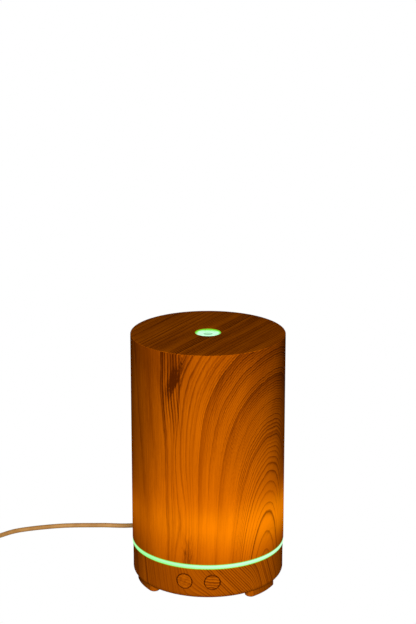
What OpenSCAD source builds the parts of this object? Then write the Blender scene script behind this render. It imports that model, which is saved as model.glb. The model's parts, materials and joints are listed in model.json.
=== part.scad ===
// Cylindrical ultrasonic essential oil diffuser: a wood-finish cover that lifts off, a lit
// ring, a base with two push buttons, and a detachable USB supply lead.
// The origin is on the body's axis at floor level, +Z is up and the buttons face -Y.
// Lengths are in millimetres and angles in degrees.

/* [Cover] */
// Outer diameter of the cover
cover_d = 98; // [98:0.5:104]
// Height from the floor to the top of the cover
total_h = 165.4; // [165.4:0.2:180]
// Side wall of the cover
cover_wall = 2.2; // [1.8:0.1:2.2]
// Top plate of the cover
cover_top = 2.5; // [2:0.1:2.5]
// Diameter of the mist opening in the top plate
outlet_d = 16.2; // [15:0.1:18]
// Depth of the mist outlet's face below the top plate's upper side
outlet_recess = 0.8; // [0.6:0.1:1.6]

/* [Base] */
// Height of the feet
foot_h = 4.7; // [4.7:0.1:5.5]
// Height of the base shell above the feet
shell_h = 20.4; // [20.4:0.1:21]
// Wall of the base shell
shell_wall = 2; // [1.8:0.1:2]
// Radius of the base shell's rounded lower edge
shell_edge_r = 3.6; // [3:0.1:3.8]
// Amount by which the base shell is smaller than the cover, on the radius
shell_inset = 0.45; // [0.3:0.05:0.6]
// Angle from the front to the middle of each front foot
foot_angle = 60; // [57:0.5:62]
// Angle that each foot spans, with its rounded ends
foot_span = 35.5; // [32:0.5:38]

/* [Light ring] */
// Visible height of the light ring
ring_h = 2.7; // [2.5:0.1:3]

/* [Water tank] */
// Wall of the tank
tank_wall = 2; // [1.6:0.1:2]
// Height of the tank's rim above the floor
tank_rim_z = 98; // [96:1:104]
// Height of the tank's floor, upper side
tank_floor_z = 48; // [48:0.5:50]
// Height of the full mark above the floor
fill_line_z = 84; // [80:1:86]

/* [Buttons] */
// Diameter of each button
button_d = 9.4; // [9:0.1:9.6]
// Distance from the middle plane to each button's axis
button_x = 8.85; // [8.7:0.05:9.2]
// Height of the buttons' axes above the floor
button_z = 16.1; // [15.7:0.1:16.1]
// Travel of a pressed button
button_travel = 0.8; // [0.5:0.1:0.8]

/* [Supply lead] */
// Diameter of the lead
cable_d = 3.1; // [2.8:0.1:3.4]
// Outer diameter of the barrel plug's metal
barrel_d = 5.5; // [5.3:0.1:5.6]
// Diameter of the jack's centre pin
jack_pin_d = 2.1; // [2:0.1:2.5]
// Height of the jack's axis above the floor
jack_z = 15.8; // [15.6:0.1:16]

/* [Hidden] */
$fn = 96;
// Overlap of joined shapes, gap between separate parts, and clearance of parts that slide in
eps = 0.01;
gap = 0.1;
fit = 0.2;

cover_r = cover_d / 2;
cover_in_r = cover_r - cover_wall;
outlet_r = outlet_d / 2;
cover_edge_r = 0.5;

shell_r = cover_r - shell_inset;
shell_in_r = shell_r - shell_wall;
shell_top_z = foot_h + shell_h;
shell_floor_z = foot_h + shell_wall;
shell_open_r = shell_r - 5;

ring_z = shell_top_z + gap / 2;
ring_inset = 0.05;
ring_band = 4.75;
ring_r = cover_r - ring_inset;
ring_in_r = ring_r - ring_band;
cover_z = ring_z + ring_h + gap;
plate_z = total_h - cover_top;

tank_r = cover_r - 5;
tank_in_r = tank_r - tank_wall;
tank_floor_t = 2;
tank_low_z = ring_z + gap;

// Fan: a 35 mm square axial fan lying flat on four posts
fan_y = 14;
fan_side = 35;
fan_z = 10;
fan_h = 10;
fan_bore_r = 16.2;
fan_pitch = 14.5;
fan_top_z = fan_z + fan_h;
shaft_r = 1;
hub_r = 8.6;
hub_z = fan_z + 1.6;
hub_h = 7.6;

// Air way from the fan to above the water
stack_y = 24;
stack_r = 7;
stack_in_r = 5.5;
stack_top_z = 92;
socket_r = 9;
socket_in_r = 7.6;
duct_r = 17.6;
duct_top_z = 28;
duct_tube_r = 6.5;
duct_wall = 1.2;
duct_tube_top_z = 44;
socket_low_z = 36;

// Transducer under the tank's floor
well_y = -14;
well_r = 9;
well_boss_r = 17.5;
well_boss_z = 38;
well_floor_z = 41;
seal_r = 12.9;
disc_r = 10;
disc_z = 39;
disc_t = 1;
clamp_t = 1.6;
clamp_screw_pcr = 15.2;
clamp_screw_angles = [30, 150, 270];

// Screws
screw_r = 1.25;
pilot_r = 1.3;
clear_r = 1.6;
head_r = 2.5;
head_h = 1.6;
bottom_screw_angle = 58;
bottom_screw_pcr = 39.5;
boss_r = 3;
boss_top_z = 16;
tank_screw_angle = 20;
tank_screw_pcr = 36;
tank_boss_r = 3.5;
lug_z = 8.9;
lug_t = 2;

// Circuit boards
board_t = 1.6;
board_z = 12;
board_x = 26;
board_y = [-29.5, -4];
board_top_z = board_z + board_t;
board_post_x = 22;
board_post_y = [-26, -8];
sink_x = 7.4;
sink_y = -9;
led_board_z = 21.6;
led_board_r = [40, 43.8];
led_board_t = 1.2;
led_count = 12;
button_board_y = -36.8;
button_board_t = 1.4;
button_board_x = 15;
button_board_z = [9, 20];
switch_depth = 3.5;
switch_side = 6.2;
switch_back_y = button_board_y - gap / 2;
switch_front_y = switch_back_y - switch_depth;

// Buttons, from the outside inwards: cap, retaining flange, stem and switch plunger
button_gap = 0.3;
button_proud = 0.2;
button_back_y = -43.9;
flange_extra_r = 0.6;
flange_t = 1;
stem_r = 1.5;
plunger_r = 1.75;
plunger_len = 1.9;
plunger_y = switch_front_y - button_travel - gap / 2;

// Jack
jack_w = 9;
jack_y = [32.8, 46];
jack_nose_r = 4.2;
jack_hole_r = 4.6;
jack_bore_r = barrel_d / 2 + gap;
jack_bore_y = 37.6;
plug_y = shell_r + 0.3;
plug_len = 13;
plug_taper = 4;
plug_r = 4.8;
relief_len = 5;
relief_r = cable_d / 2 + 0.9;
barrel_grip = 8;

// Feet
foot_r = [cover_r - 10.4, cover_r - 3];
foot_mid_r = (foot_r[0] + foot_r[1]) / 2;
foot_half_w = (foot_r[1] - foot_r[0]) / 2;
foot_z = 0.35;
foot_angles = [foot_angle, 180 - foot_angle, 180 + foot_angle, -foot_angle];
pad_inset = 1.2;
pad_h = 0.75;

// Inner lid and chimney
lid_z = tank_rim_z + gap;
lid_t = 2;
lid_r = cover_in_r - 1.2;
chimney_r = 9;
chimney_in_r = 7.5;
chimney_top_z = plate_z - 6.9;
insert_z = plate_z - 2;
insert_r = outlet_r - gap;
insert_flange_r = 10.5;
mist_hole_r = 3;

// Supply lead's path: from the barrel plug, round behind the body, down to the floor and out
// to the left, then forwards to the USB plug
cable_r = cable_d / 2;
cable_floor_z = cable_r + 0.2;
usb_x = -155.5;
usb_y = 19;
usb_z = 4.2;
usb_body = [14.6, 8, 24];
usb_metal = [12, 4.5, 26];
usb_body_y = usb_y - 2;
usb_metal_y = usb_y - 18;
cable_start = [0, plug_y + plug_len + relief_len - 1, jack_z];
cable_bend = [[-1.5, 71.5, 15.2], [-10, 76.4, 12.4], [-31, 75, 5.2]];
cable_run = [[-61.4, 70.2], [-84.2, 67.6], [-111.6, 62.8], [-137.5, 51.9], [-149.6, 40.4]];
cable_end = [
  [usb_x, usb_y + 12, usb_z - 0.6], [usb_x, usb_y + 6, usb_z], [usb_x, usb_y - 1, usb_z]
];
cable_points = concat(
  [cable_start],
  cable_bend,
  [for (p = cable_run) [p[0], p[1], cable_floor_z]],
  cable_end
);
cable_steps = 7;
cable_sides = 14;
wire_r = 0.6;
wire_sides = 8;
solder_z = board_top_z + 0.7;

// Colours
wood = [0.66, 0.33, 0.02];
wood_dark = [0.42, 0.2, 0.01];
glow = [0.68, 1, 0.72];
white_plastic = [0.93, 0.93, 0.9];
clear_plastic = [0.88, 0.94, 0.95, 0.6];
black_plastic = [0.09, 0.09, 0.1];
rubber_grey = [0.25, 0.25, 0.26];
silicone = [0.85, 0.86, 0.84];
steel = [0.72, 0.73, 0.75];
brass = [0.8, 0.65, 0.3];
copper = [0.78, 0.42, 0.22];
board_green = [0.05, 0.32, 0.16];
tan_lead = [0.8, 0.58, 0.31];

// ---- Helpers ----

// Cylinder along Y between two Y positions
module rod_y(radius, y_from, y_to) {
  translate([0, y_to, 0]) rotate([90, 0, 0]) cylinder(r = radius, h = y_to - y_from);
}

// Cylinder along Z between two heights
module rod_z(radius, z_from, z_to) {
  translate([0, 0, z_from]) cylinder(r = radius, h = z_to - z_from);
}

// Ring about Z between two heights
module ring(outer, inner, z_from, z_to) {
  difference() {
    rod_z(outer, z_from, z_to);
    rod_z(inner, z_from - 1, z_to + 1);
  }
}

// Box between two corners
module box(low, high) {
  translate(low) cube(high - low);
}

// Rectangle with rounded corners, centred
module rounded_rect(w, h, r) {
  square([w - 2 * r, h], center = true);
  square([w, h - 2 * r], center = true);
  for (x = [-1, 1], y = [-1, 1])
    translate([x * (w / 2 - r), y * (h / 2 - r)]) circle(r = r);
}

// Children repeated at four mirrored places on a circle, at an angle from the X axis
module at_four(angle, radius) {
  for (a = [angle, 180 - angle, 180 + angle, -angle])
    rotate(a) translate([radius, 0, 0]) children();
}

// Cross-head screw pointing up, with its head's underside at z
module screw_up(z, length) {
  difference() {
    union() {
      rod_z(screw_r, z - eps, z + length);
      rod_z(head_r, z - head_h, z);
    }
    for (a = [0, 90])
      rotate(a) translate([-1.3, -0.3, z - head_h - 1]) cube([2.6, 0.6, 1.8]);
  }
}

// The same screw pointing down
module screw_down(z, length) {
  translate([0, 0, z]) mirror([0, 0, 1]) screw_up(0, length);
}

// Bar along X from a radius out to the base shell's wall
module rib_to_wall(from_r, half_w, z_from, z_to) {
  box([from_r, -half_w, z_from], [shell_in_r + 1, half_w, z_to]);
}

// Ring-shaped cut along Y
module rod_groove(inner, outer, y, width) {
  difference() {
    rod_y(outer, y, y + width);
    rod_y(inner, y - 1, y + width + 1);
  }
}

// Unit vector
function unit(v) = v / norm(v);

// Point between p1 and p2 on the smooth curve through p0, p1, p2 and p3
function curve_point(p0, p1, p2, p3, t) =
  0.5 * (2 * p1 + (p2 - p0) * t + (2 * p0 - 5 * p1 + 4 * p2 - p3) * t * t
  + (3 * p1 - p0 - 3 * p2 + p3) * t * t * t);

// Smooth path through all the points of a list
function smooth_path(c, steps) = concat(
  [for (i = [0 : len(c) - 2], k = [0 : steps - 1])
    curve_point(c[max(i - 1, 0)], c[i], c[i + 1], c[min(i + 2, len(c) - 1)], k / steps)],
  [c[len(c) - 1]]
);

// Round tube along a path; side_ref is any direction that the path never takes
module sweep_tube(path, radius, sides, side_ref) {
  n = len(path);
  rings = [for (i = [0 : n - 1])
    let (
      ahead = unit(path[min(i + 1, n - 1)] - path[max(i - 1, 0)]),
      side = unit(cross(side_ref, ahead)),
      up = cross(ahead, side)
    )
    for (k = [0 : sides - 1])
      let (a = 360 * k / sides)
        path[i] + radius * (cos(a) * side + sin(a) * up)];
  walls = [for (i = [0 : n - 2], k = [0 : sides - 1])
    let (next = (k + 1) % sides)
      [i * sides + k, (i + 1) * sides + k, (i + 1) * sides + next, i * sides + next]];
  first = [for (k = [0 : sides - 1]) k];
  last = [for (k = [sides - 1 : -1 : 0]) (n - 1) * sides + k];
  polyhedron(points = rings, faces = concat(walls, [first, last]));
}

// Thin insulated wire through a few points
module wire(points, side_ref = [1, 0, 0]) {
  sweep_tube(smooth_path(points, 4), wire_r, wire_sides, side_ref);
}

// ---- Base ----

// Half section of the base shell's outside: straight wall with a rounded lower edge
module shell_section(r, z_low, z_high, edge_r) {
  translate([0, z_low + edge_r]) square([r, z_high - z_low - edge_r]);
  translate([0, z_low]) square([r - edge_r, edge_r + eps]);
  translate([r - edge_r, z_low + edge_r]) circle(r = edge_r);
}

// Half section of one foot's cross shape, with a small chamfer at its lower edges
module foot_section(half_w) {
  bevel = 0.6;
  top = foot_h - 0.15;
  polygon([
    [0, foot_z], [half_w - bevel, foot_z], [half_w, foot_z + bevel], [half_w, top], [0, top]
  ]);
}

// Arc with rounded ends, centred on the front (-Y), from a half section that is mirrored
module arc_bar(mid_r, half_w, span) {
  half = span / 2 - asin(half_w / mid_r);
  rotate(-90 - half) rotate_extrude(angle = 2 * half) translate([mid_r, 0]) {
    children();
    mirror([1, 0]) children();
  }
  for (side = [-1, 1])
    rotate(-90 + side * half) translate([mid_r, 0, 0]) rotate_extrude() children();
}

module base_shell() {
  ledge_angles = [0, 45, 135, 180, 225, 315];
  ledge_r = 42;
  ledge_h = 2.5;
  color(wood) difference() {
    union() {
      rotate_extrude() difference() {
        shell_section(shell_r, foot_h, shell_top_z, shell_edge_r);
        shell_section(shell_in_r, shell_floor_z, shell_top_z + 1, shell_edge_r - shell_wall);
        translate([-shell_r, 0]) square([shell_r, total_h]);
        square([shell_open_r, shell_floor_z + 1]);
      }
      intersection() {
        union() {
          // Bosses for the bottom cover's screws
          at_four(bottom_screw_angle, bottom_screw_pcr)
            rod_z(boss_r, shell_floor_z + gap, boss_top_z);
          at_four(bottom_screw_angle, 0)
            rib_to_wall(bottom_screw_pcr, 1, shell_floor_z + gap, boss_top_z);
          // Lugs for the tank's screws
          at_four(tank_screw_angle, tank_screw_pcr) rod_z(tank_boss_r, lug_z, lug_z + lug_t);
          at_four(tank_screw_angle, 0)
            rib_to_wall(tank_screw_pcr, tank_boss_r, lug_z, lug_z + lug_t);
          // Ledges under the LED board
          for (a = ledge_angles)
            rotate(a) rib_to_wall(ledge_r, 1.2, led_board_z - gap - ledge_h, led_board_z - gap);
        }
        rod_z(shell_in_r + 0.5, 0, shell_top_z);
      }
    }
    at_four(bottom_screw_angle, bottom_screw_pcr) rod_z(pilot_r, 0, boss_top_z - 1);
    at_four(tank_screw_angle, tank_screw_pcr) rod_z(clear_r, lug_z - 1, lug_z + lug_t + 1);
    for (side = [-1, 1])
      translate([side * button_x, 0, button_z])
        rod_y(button_d / 2 + button_gap, -shell_r - 1, -shell_open_r);
    translate([0, 0, jack_z]) rod_y(jack_hole_r, shell_open_r, shell_r + 1);
  }
}

module bottom_cover() {
  vent_r = 15;
  vent_pitch = 4;
  rail_x = 15.2;
  rail_top_z = 18;
  fan_post_r = 2.6;
  board_post_r = 2.5;
  pilot_low_z = 5.6;
  web_half_w = 0.8;
  color(wood_dark) difference() {
    union() {
      rod_z(shell_open_r - fit, foot_h, shell_floor_z);
      for (a = foot_angles)
        rotate(a) intersection() {
          arc_bar(foot_mid_r, foot_half_w, foot_span) foot_section(foot_half_w);
          rod_z(cover_r, 0, foot_h);
        }
      // Webs that carry the feet on the disc
      for (a = foot_angles)
        rotate(a) arc_bar(foot_mid_r - 2, web_half_w, foot_span - 6)
          translate([0, foot_h - 0.4]) square([web_half_w, 0.6]);
      // Posts under the fan and the main board
      translate([0, fan_y, 0]) for (x = [-1, 1], y = [-1, 1])
        translate([x * fan_pitch, y * fan_pitch, 0])
          rod_z(fan_post_r, foot_h, fan_z - gap / 2);
      for (x = [-board_post_x, board_post_x], y = board_post_y)
        translate([x, y, 0]) rod_z(board_post_r, foot_h, board_z - gap / 2);
      // Slotted rails for the button board
      for (side = [-1, 1])
        translate([side * rail_x, button_board_y + button_board_t / 2, 0])
          box([-1.7, -2.2, foot_h], [1.7, 2.2, rail_top_z]);
      // Cradle under the jack
      for (y = [jack_y[0] + 2, jack_y[1] - 5])
        box([-3, y, foot_h], [3, y + 1.6, jack_z - jack_w / 2 - gap]);
    }
    // Air inlet slots under the fan
    for (i = [-3 : 3])
      let (half = sqrt(vent_r * vent_r - pow(i * vent_pitch, 2)))
        translate([0, fan_y + i * vent_pitch, 0])
          box([-half, -1, 0], [half, 1, shell_floor_z + 1]);
    at_four(bottom_screw_angle, bottom_screw_pcr) rod_z(clear_r, 0, shell_floor_z + 1);
    translate([0, fan_y, 0]) for (x = [-1, 1], y = [-1, 1])
      translate([x * fan_pitch, y * fan_pitch, 0]) rod_z(pilot_r, pilot_low_z, fan_z + 1);
    for (x = [-board_post_x, board_post_x], y = board_post_y)
      translate([x, y, 0]) rod_z(pilot_r, pilot_low_z, board_z + 1);
    box(
      [-button_board_x - gap, button_board_y - gap / 2, button_board_z[0] - gap],
      [button_board_x + gap, button_board_y + button_board_t + gap / 2, rail_top_z + 1]
    );
    // Recesses for the foot pads
    for (a = foot_angles)
      rotate(a) arc_bar(foot_mid_r, foot_half_w - pad_inset + gap, foot_span - 3.2)
        square([foot_half_w - pad_inset + gap, pad_h + gap]);
  }
}

module foot_pads() {
  color(rubber_grey) for (a = foot_angles)
    rotate(a) arc_bar(foot_mid_r, foot_half_w - pad_inset, foot_span - 3.6)
      square([foot_half_w - pad_inset, pad_h]);
}

module bottom_screws() {
  color(steel) at_four(bottom_screw_angle, bottom_screw_pcr) screw_up(foot_h - gap, 9);
}

module light_ring() {
  edge_r = 0.4;
  skirt_t = 1.9;
  color(glow) rotate_extrude() difference() {
    union() {
      translate([ring_in_r, ring_z]) square([ring_r - ring_in_r - edge_r, ring_h]);
      translate([ring_r - 1, ring_z + edge_r]) square([1, ring_h - 2 * edge_r]);
      for (z = [ring_z + edge_r, ring_z + ring_h - edge_r])
        translate([ring_r - edge_r, z]) circle(r = edge_r);
      translate([ring_in_r + fit, led_board_z + fit])
        square([skirt_t, ring_z + 1 - led_board_z - fit]);
    }
    translate([0, ring_z + ring_h]) square([ring_r + 1, 1]);
  }
}

// ---- Tank ----

module water_tank() {
  locating_h = 3;
  mark_h = 0.6;
  mark_depth = 0.4;
  pilot_top_z = 45;
  color(clear_plastic) difference() {
    union() {
      ring(tank_r, tank_in_r, tank_low_z, tank_rim_z);
      // Ring that locates the cover
      ring(cover_in_r - fit, tank_r - 1, cover_z, cover_z + locating_h);
      rod_z(tank_in_r + 0.5, tank_floor_z - tank_floor_t, tank_floor_z);
      // Raised full mark round the inside
      ring(tank_in_r + 0.5, tank_in_r - mark_depth, fill_line_z, fill_line_z + mark_h);
      // Boss that holds the transducer under the well
      translate([0, well_y, 0]) rod_z(well_boss_r, well_boss_z, tank_floor_z - 1);
      // Air stack above the floor, and its socket below
      translate([0, stack_y, 0]) rod_z(stack_r, tank_floor_z - 1, stack_top_z);
      translate([0, stack_y, 0]) rod_z(socket_r, socket_low_z, tank_floor_z - 1);
      at_four(tank_screw_angle, tank_screw_pcr)
        rod_z(tank_boss_r, lug_z + lug_t + gap / 2, tank_floor_z - 1);
    }
    translate([0, well_y, 0]) rod_z(well_r, well_floor_z, tank_floor_z + 1);
    translate([0, well_y, 0]) rod_z(seal_r + gap, well_boss_z - 1, well_floor_z);
    translate([0, well_y, 0]) rod_z(well_r - 0.4, well_floor_z - 1, well_floor_z + 1);
    translate([0, well_y, 0]) for (a = clamp_screw_angles)
      rotate(a) translate([clamp_screw_pcr, 0, 0]) rod_z(pilot_r, well_boss_z - 1, pilot_top_z);
    translate([0, stack_y, 0]) rod_z(stack_in_r, socket_low_z - 1, stack_top_z + 1);
    translate([0, stack_y, 0])
      rod_z(socket_in_r, socket_low_z - 1, tank_floor_z - tank_floor_t - 0.5);
    at_four(tank_screw_angle, tank_screw_pcr) rod_z(pilot_r, lug_z, shell_top_z - 1);
  }
}

module tank_screws() {
  color(steel) at_four(tank_screw_angle, tank_screw_pcr) screw_up(lug_z - gap / 2, 13);
}

module transducer_disc() {
  color(brass) translate([0, well_y, 0]) rod_z(disc_r, disc_z, disc_z + disc_t);
}

module transducer_seal() {
  color(silicone) translate([0, well_y, 0]) difference() {
    ring(seal_r, well_r - 0.5, well_boss_z + gap / 2, well_floor_z - gap / 2);
    rod_z(disc_r + 0.05, disc_z - 0.05, disc_z + disc_t + 0.05);
  }
}

module transducer_clamp() {
  color(steel) translate([0, well_y, 0]) difference() {
    ring(well_boss_r, well_r - 1, well_boss_z - clamp_t, well_boss_z);
    for (a = clamp_screw_angles)
      rotate(a) translate([clamp_screw_pcr, 0, 0])
        rod_z(clear_r, well_boss_z - clamp_t - 1, well_boss_z + 1);
  }
}

module transducer_screws() {
  color(steel) translate([0, well_y, 0]) for (a = clamp_screw_angles)
    rotate(a) translate([clamp_screw_pcr, 0, 0])
      screw_up(well_boss_z - clamp_t - gap / 2, 6);
}

// ---- Fan and air way ----

module fan_frame() {
  spoke_t = 1.2;
  spoke_half_w = 1.2;
  hub_disc_r = 9;
  tube_r = 3.4;
  tube_h = 6.6;
  color(black_plastic) translate([0, fan_y, 0]) difference() {
    union() {
      difference() {
        box([-fan_side / 2, -fan_side / 2, fan_z], [fan_side / 2, fan_side / 2, fan_top_z]);
        rod_z(fan_bore_r, fan_z - 1, fan_top_z + 1);
      }
      for (a = [0, 90])
        rotate(a) box(
          [-fan_bore_r - 0.7, -spoke_half_w, fan_z],
          [fan_bore_r + 0.7, spoke_half_w, fan_z + spoke_t]
        );
      rod_z(hub_disc_r, fan_z, fan_z + spoke_t + 0.2);
      rod_z(tube_r, fan_z, fan_z + tube_h);
    }
    for (x = [-1, 1], y = [-1, 1])
      translate([x * fan_pitch, y * fan_pitch, 0]) rod_z(clear_r, fan_z - 1, fan_top_z + 1);
    rod_z(shaft_r + 0.06, fan_z + 0.6, fan_top_z);
  }
}

module fan_stator() {
  color(copper) translate([0, fan_y, 0]) {
    ring(4.6, 3.45, fan_z + 1.5, fan_z + 6);
    for (a = [0, 90, 180, 270])
      rotate(a) box([4.2, -1.8, fan_z + 1.6], [6.6, 1.8, fan_z + 5.6]);
  }
}

module fan_rotor() {
  hub_wall = 1.2;
  blade_count = 7;
  blade_t = 0.9;
  blade_w = 11;
  blade_pitch = 42;
  tip_r = fan_bore_r - 0.5;
  color(black_plastic) translate([0, fan_y, 0]) difference() {
    union() {
      ring(hub_r, hub_r - hub_wall, hub_z, hub_z + hub_h);
      rod_z(hub_r, hub_z + hub_h - hub_wall, hub_z + hub_h);
      intersection() {
        ring(tip_r, hub_r - 0.6, hub_z + 0.2, hub_z + hub_h - 0.2);
        for (i = [0 : blade_count - 1])
          rotate(i * 360 / blade_count) translate([0, 0, hub_z + hub_h / 2])
            rotate([blade_pitch, 0, 0])
              translate([hub_r - 0.5, -blade_w / 2, -blade_t / 2]) cube([12, blade_w, blade_t]);
      }
    }
    rod_z(shaft_r + 0.01, fan_z, fan_top_z + 1);
  }
}

module fan_shaft() {
  color(steel) translate([0, fan_y, 0]) rod_z(shaft_r, fan_z + 0.8, hub_z + hub_h);
}

module fan_screws() {
  size = 0.88;
  color(steel) translate([0, fan_y, 0]) for (x = [-1, 1], y = [-1, 1])
    translate([x * fan_pitch, y * fan_pitch, fan_top_z + gap / 2]) scale(size)
      screw_down(0, 15);
}

module air_duct() {
  color(white_plastic) difference() {
    union() {
      translate([0, fan_y, 0]) rod_z(duct_r, fan_top_z + gap, duct_top_z);
      translate([0, stack_y, 0]) rod_z(duct_tube_r, duct_top_z - 1, duct_tube_top_z);
    }
    translate([0, fan_y, 0]) rod_z(duct_r - duct_wall, fan_top_z, duct_top_z - duct_wall);
    translate([0, stack_y, 0]) rod_z(duct_tube_r - duct_wall, duct_top_z - 3, duct_tube_top_z + 1);
  }
}

module duct_gasket() {
  color(silicone) translate([0, stack_y, 0])
    ring(socket_in_r - 0.05, duct_tube_r + 0.05, socket_low_z + 2, duct_tube_top_z - 0.5);
}

// ---- Electronics ----

module main_board() {
  color(board_green) difference() {
    box([-board_x, board_y[0], board_z], [board_x, board_y[1], board_top_z]);
    for (x = [-board_post_x, board_post_x], y = board_post_y)
      translate([x, y, 0]) rod_z(clear_r, board_z - 1, board_top_z + 1);
  }
}

module board_screws() {
  color(steel) for (x = [-board_post_x, board_post_x], y = board_post_y)
    translate([x, y, 0]) screw_down(board_top_z + gap / 2, 6.5);
}

module heat_sink() {
  fins = 5;
  fin_pitch = 2.4;
  fin_t = 1.2;
  plate = [fin_pitch * (fins - 1) + fin_t, 1.4, 16];
  color(steel) translate([sink_x, sink_y, board_top_z + gap]) {
    cube(plate);
    for (i = [0 : fins - 1])
      translate([i * fin_pitch, plate[1] / 2, 0]) cube([fin_t, 3.7, plate[2]]);
  }
}

module drive_transistor() {
  case = [8, 3.3, 9];
  leg_pitch = 2.5;
  leg_w = 0.7;
  case_x = sink_x + 1.4;
  case_y = sink_y - case[1] - gap;
  color(black_plastic) translate([case_x, case_y, board_top_z + 3]) cube(case);
  color(steel) for (i = [-1 : 1])
    translate([case_x + case[0] / 2 + i * leg_pitch - leg_w / 2, case_y + 1.4, board_top_z + gap / 2])
      cube([leg_w, leg_w, 3.1]);
}

module step_up_coil() {
  end_r = 5;
  end_t = 1.2;
  core_h = 8;
  color(copper) translate([-16, -14, board_top_z + gap / 2]) {
    cylinder(r = end_r, h = end_t);
    cylinder(r = end_r - 0.8, h = core_h + end_t / 2);
    translate([0, 0, core_h]) cylinder(r = end_r, h = end_t);
  }
}

module capacitors() {
  can_r = 3.1;
  can_h = 11;
  color(black_plastic) for (x = [-10, -2])
    translate([x, -25, board_top_z + gap / 2]) difference() {
      cylinder(r = can_r, h = can_h);
      ring(can_r + 1, can_r - 0.2, 1.6, 2.2);
    }
}

module controller_chip() {
  case = [10, 4, 1.5];
  case_at = [1, -18];
  legs = 4;
  leg_pitch = 2.4;
  leg = [0.8, 1, 0.5];
  color(black_plastic) translate([case_at[0], case_at[1], board_top_z + 0.3]) cube(case);
  color(steel) for (i = [0 : legs - 1], y = [case_at[1] - 0.9, case_at[1] + case[1] - 0.1])
    translate([case_at[0] + 1 + i * leg_pitch, y, board_top_z + gap / 2]) cube(leg);
}

module led_board() {
  color(board_green)
    ring(led_board_r[1], led_board_r[0], led_board_z, led_board_z + led_board_t);
}

module leds() {
  led = [2.8, 3.5, 1.3];
  led_z = led_board_z + led_board_t + gap / 2;
  led_r = (led_board_r[0] + led_board_r[1]) / 2;
  color(glow) for (i = [0 : led_count - 1])
    rotate((i + 0.5) * 360 / led_count)
      translate([led_r - led[0] / 2, -led[1] / 2, led_z]) cube(led);
}

module button_board() {
  color(board_green) box(
    [-button_board_x, button_board_y, button_board_z[0]],
    [button_board_x, button_board_y + button_board_t, button_board_z[1]]
  );
}

module switch_bodies() {
  half = switch_side / 2;
  color(black_plastic) for (side = [-1, 1])
    translate([side * button_x, 0, button_z]) difference() {
      box([-half, switch_front_y, -half], [half, switch_back_y, half]);
      rod_y(plunger_r + gap, switch_front_y - 1, switch_back_y - 1);
    }
}

module dc_jack() {
  half = jack_w / 2;
  color(black_plastic) translate([0, 0, jack_z]) difference() {
    union() {
      box([-half, jack_y[0], -half], [half, jack_y[1], half]);
      rod_y(jack_nose_r, jack_y[1] - 1, shell_r - 1);
    }
    rod_y(jack_bore_r, jack_bore_y, shell_r);
    rod_y(jack_pin_d / 2 + 0.02, jack_y[0] + 1, shell_r);
  }
}

module jack_pin() {
  color(steel) translate([0, 0, jack_z])
    rod_y(jack_pin_d / 2, jack_y[0] + 1.2, shell_r - 3);
}

module fan_wires() {
  color([0.7, 0.05, 0.05]) for (i = [0, 1])
    translate([0, -i * 1.6, 0]) wire([
      [-18.5, -5.6, solder_z], [-20.5, -3.6, 18], [-20.8, 4, 21.5], [-18.3, 9.8, 17]
    ]);
}

module transducer_wires() {
  color([0.85, 0.85, 0.8]) for (i = [0, 1])
    translate([i * 4, 0, 0]) wire([
      [-4, -13, solder_z], [-3.6, -15, 22], [-4, -14, 31], [-4, -16, 38.2]
    ]);
}

module led_wires() {
  color([0.1, 0.1, 0.1]) for (i = [0, 1])
    translate([0, -i * 1.6, 0]) wire([
      [24.5, -17, solder_z], [27, -17.6, 19], [31, -20, 25.5], [36.2, -21.4, 23.6]
    ], [0, 1, 0]);
}

module button_wires() {
  color([0.1, 0.3, 0.7]) for (i = [0 : 2])
    translate([i * 1.5, 0, 0]) wire([
      [-1.5, -34.7, 12], [-1.5, -33.4, 16], [-1.5, -30, 17.8], [-1.5, -28.8, solder_z]
    ]);
}

// ---- Buttons ----

// Button on one side (-1 or 1): a cap that follows the shell, a retaining flange and a stem
module push_button(side) {
  color(wood) {
    intersection() {
      translate([side * button_x, 0, button_z])
        rod_y(button_d / 2, -shell_r - 1, button_back_y);
      rod_z(shell_r + button_proud, 0, shell_top_z);
    }
    translate([side * button_x, 0, button_z]) {
      rod_y(button_d / 2 + flange_extra_r, button_back_y, button_back_y + flange_t);
      rod_y(stem_r, button_back_y + flange_t - gap, plunger_y - gap / 2);
    }
  }
}

// Tact switch plunger behind a button
module switch_plunger(side) {
  color(white_plastic) translate([side * button_x, 0, button_z])
    rod_y(plunger_r, plunger_y, plunger_y + plunger_len);
}

module light_button() {
  push_button(-1);
}

module light_switch_plunger() {
  switch_plunger(-1);
}

module mist_button() {
  push_button(1);
}

module mist_switch_plunger() {
  switch_plunger(1);
}

// ---- Cover and inner lid ----

module top_cover() {
  color(wood) rotate_extrude() difference() {
    union() {
      translate([0, cover_z]) square([cover_r, total_h - cover_z - cover_edge_r]);
      translate([0, cover_z]) square([cover_r - cover_edge_r, total_h - cover_z]);
      translate([cover_r - cover_edge_r, total_h - cover_edge_r]) circle(r = cover_edge_r);
    }
    translate([-1, cover_z - 1]) square([cover_in_r + 1, plate_z - cover_z + 1]);
    translate([-1, cover_z]) square([outlet_r + 1, total_h]);
  }
}

module mist_outlet() {
  face_z = total_h - outlet_recess;
  funnel_h = 2.4;
  color(glow) difference() {
    union() {
      rod_z(insert_flange_r, insert_z, plate_z - gap);
      rod_z(insert_r, insert_z, face_z);
    }
    rod_z(mist_hole_r, insert_z - 1, total_h);
    translate([0, 0, insert_z - eps])
      cylinder(r1 = chimney_in_r, r2 = mist_hole_r, h = funnel_h);
  }
}

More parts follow.
